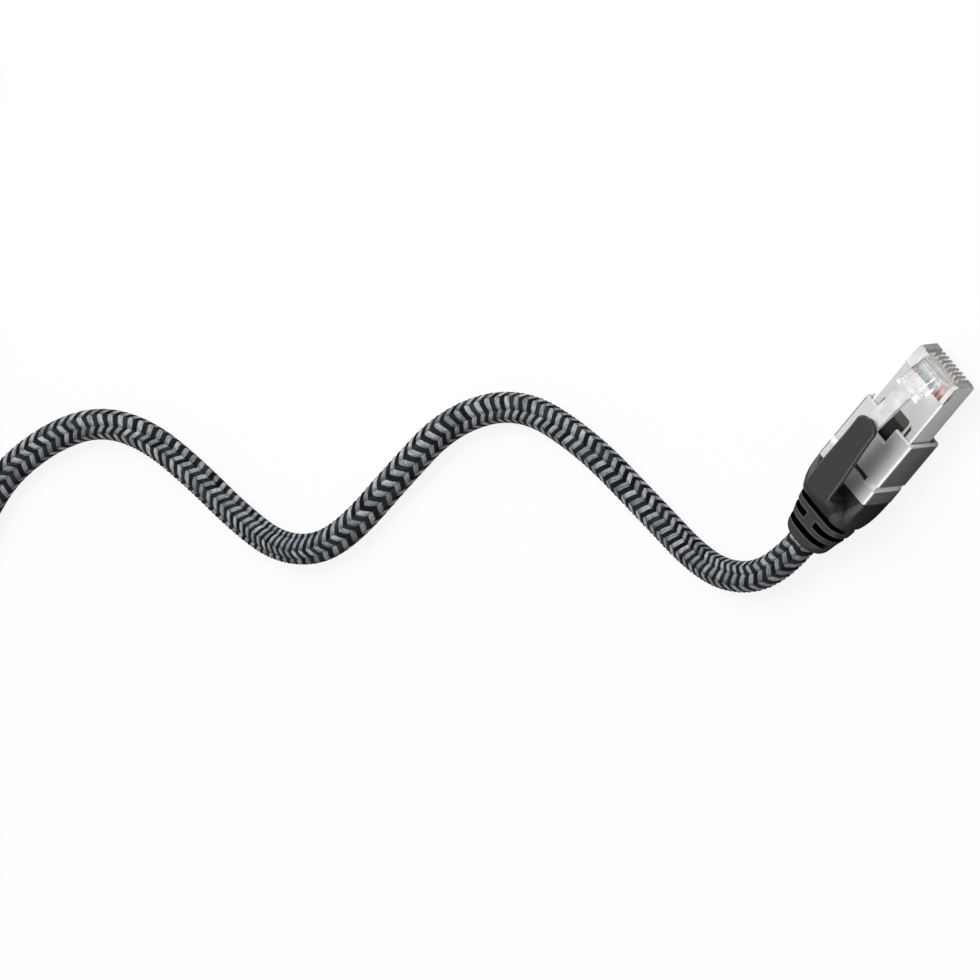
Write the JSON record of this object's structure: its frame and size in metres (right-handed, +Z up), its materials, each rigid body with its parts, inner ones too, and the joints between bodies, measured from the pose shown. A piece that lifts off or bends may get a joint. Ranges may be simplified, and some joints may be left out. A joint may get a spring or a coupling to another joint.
{
  "type": "network patch cable",
  "caption": "Braided network patch cable with a shielded modular plug, satin metal hood, press lever boot and slotted strain relief at each end, spare length coiled and tied.",
  "frame": {"origin": "under the middle of the near connector, on the surface it lies on", "axes": "+X along the connector to the plug's nose, +Y across it, +Z up, the latch side"},
  "size_m": [0.2383, 0.212, 0.0171],
  "materials": {
    "clear_plastic": "clear moulded polycarbonate",
    "contact_gold": "gold plated",
    "guide_plastic": "translucent moulded",
    "dark_plastic": "moulded",
    "foil": "bright foil",
    "stamped_sheet": "bright nickel plate",
    "hood_metal": "satin, bead blasted",
    "boot_black": "fine matte moulding",
    "relief_black": "soft moulded",
    "cord_textile": "black and grey braid",
    "braid_wire": "tinned wire braid",
    "ring_metal": "plain",
    "tie_black": "hook and loop strap",
    "wire_orange": "insulation",
    "wire_green": "insulation",
    "wire_blue": "insulation",
    "wire_brown": "insulation"
  },
  "bodies": {
    "lead": {"near_plug_body": "clear_plastic", "near_contacts": "contact_gold", "near_wire_guide": "guide_plastic", "near_pair_manager": "dark_plastic", "near_pair_screens": "foil", "near_plug_shield": "stamped_sheet", "near_hood": "hood_metal", "near_boot": "boot_black", "near_strain_relief": "relief_black", "near_cable_end": "cord_textile", "near_braid_fold": "braid_wire", "near_crimp_ring": "ring_metal", "near_orange_pair": "wire_orange", "near_green_pair": "wire_green", "near_blue_pair": "wire_blue", "near_brown_pair": "wire_brown", "far_plug_body": "clear_plastic", "far_contacts": "contact_gold", "far_wire_guide": "guide_plastic", "far_pair_manager": "dark_plastic", "far_pair_screens": "foil", "far_plug_shield": "stamped_sheet", "far_hood": "hood_metal", "far_boot": "boot_black", "far_strain_relief": "relief_black", "far_cable_end": "cord_textile", "far_braid_fold": "braid_wire", "far_crimp_ring": "ring_metal", "far_orange_pair": "wire_orange", "far_green_pair": "wire_green", "far_blue_pair": "wire_blue", "far_brown_pair": "wire_brown", "cord_free": "cord_textile", "cord_coil": "cord_textile", "cord_tail": "cord_textile", "coil_tie": "tie_black"},
    "near_lever": {"near_press_lever": "boot_black"},
    "near_tab": {"near_latch": "clear_plastic"},
    "far_lever": {"far_press_lever": "boot_black"},
    "far_tab": {"far_latch": "clear_plastic"}
  },
  "joints": [
    {"name": "near_lever_press", "type": "hinge", "parent": "lead", "child": "near_lever", "pos_m": [-0.0086, 0, 0.01465], "axis": [0, 1, 0], "range_deg": [0, 10], "stiffness_Nm_per_rad": 0.004},
    {"name": "near_latch_flex", "type": "hinge", "parent": "lead", "child": "near_tab", "pos_m": [0.0219, 0, 0.00885], "axis": [0, 1, 0], "range_deg": [-12, 0], "stiffness_Nm_per_rad": 0.002},
    {"name": "far_lever_press", "type": "hinge", "parent": "lead", "child": "far_lever", "pos_m": [-0.1255, 0.1982, 0.01465], "axis": [0, 1, 0], "range_deg": [0, 10], "stiffness_Nm_per_rad": 0.004},
    {"name": "far_latch_flex", "type": "hinge", "parent": "lead", "child": "far_tab", "pos_m": [-0.095, 0.1982, 0.00885], "axis": [0, 1, 0], "range_deg": [-12, 0], "stiffness_Nm_per_rad": 0.002}
  ],
  "couplings": [
    {"joint": "near_latch_flex", "follows": "near_lever_press", "ratio": -1.2},
    {"joint": "far_latch_flex", "follows": "far_lever_press", "ratio": -1.2}
  ]
}
